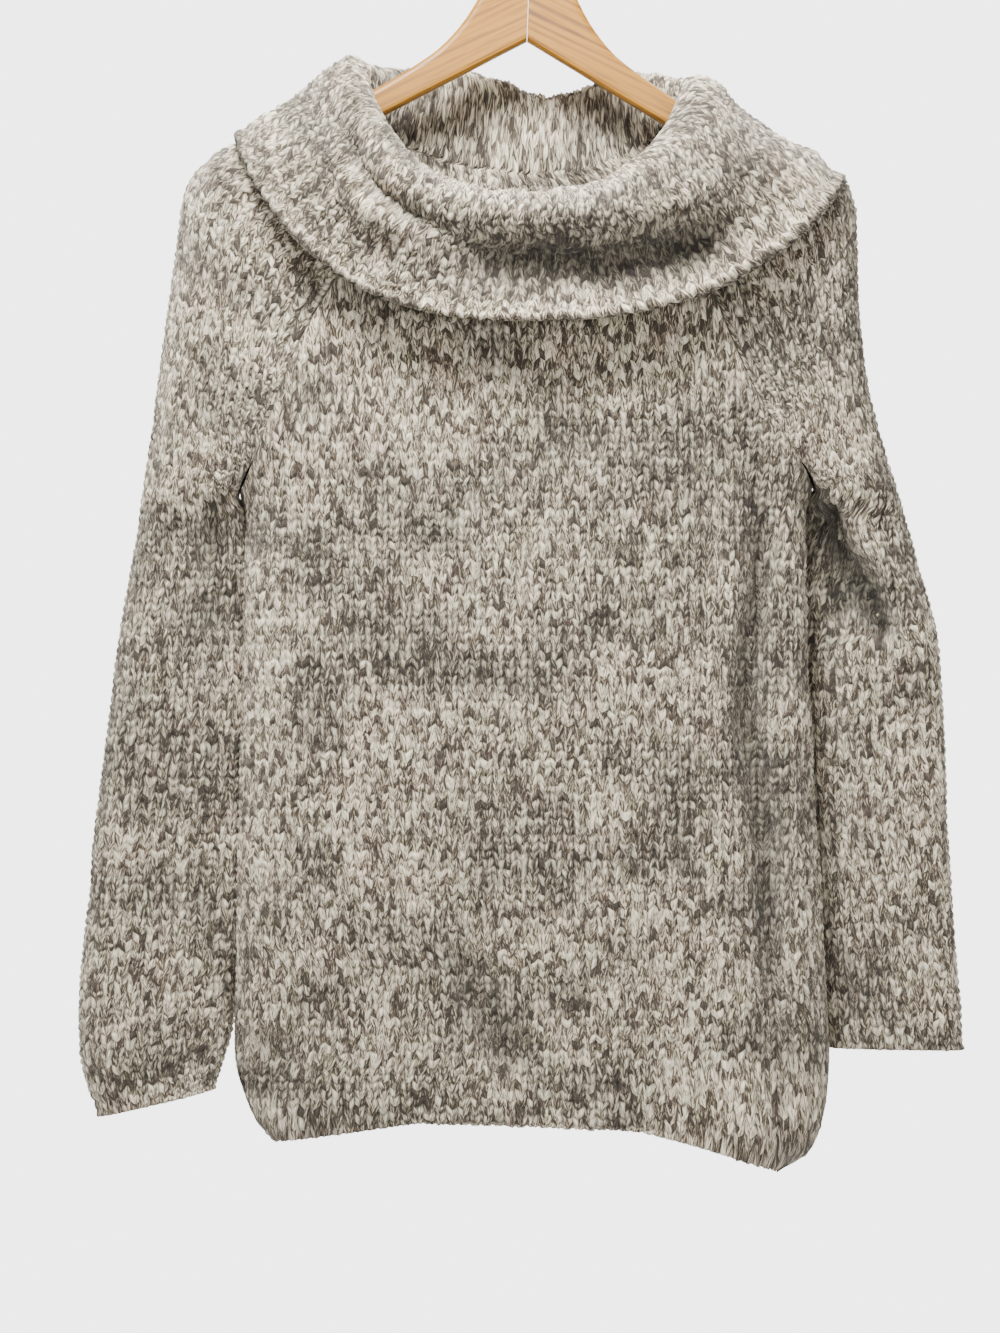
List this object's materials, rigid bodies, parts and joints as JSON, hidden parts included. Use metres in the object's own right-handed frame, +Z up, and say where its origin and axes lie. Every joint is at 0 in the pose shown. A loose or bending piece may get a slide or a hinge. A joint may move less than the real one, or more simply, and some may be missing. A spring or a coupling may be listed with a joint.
{
  "type": "chunky knit sweater on a wooden hanger",
  "caption": "Chunky marl knit raglan sweater with a wide folded cowl collar, hanging open and empty on a wooden hanger with a wire hook.",
  "frame": {"origin": "inside top of the hanger's hook, where it rests on its rail", "axes": "+Z up along the hanging garment, the front faces -Y, +X to the viewer's right"},
  "size_m": [0.622, 0.1274, 0.9299],
  "materials": {
    "marl_knit": "chunky cream and brown marl stockinette, fuzzy and matte",
    "hanger_wood": "clear satin lacquer over fine straight grain",
    "hook_metal": "polished plated wire"
  },
  "bodies": {
    "root": {"front": "marl_knit", "back": "marl_knit", "sleeve_left": "marl_knit", "sleeve_right": "marl_knit", "cowl_collar": "marl_knit", "hanger_arm_left": "hanger_wood", "hanger_arm_right": "hanger_wood", "hanger_hook": "hook_metal"}
  },
  "joints": []
}
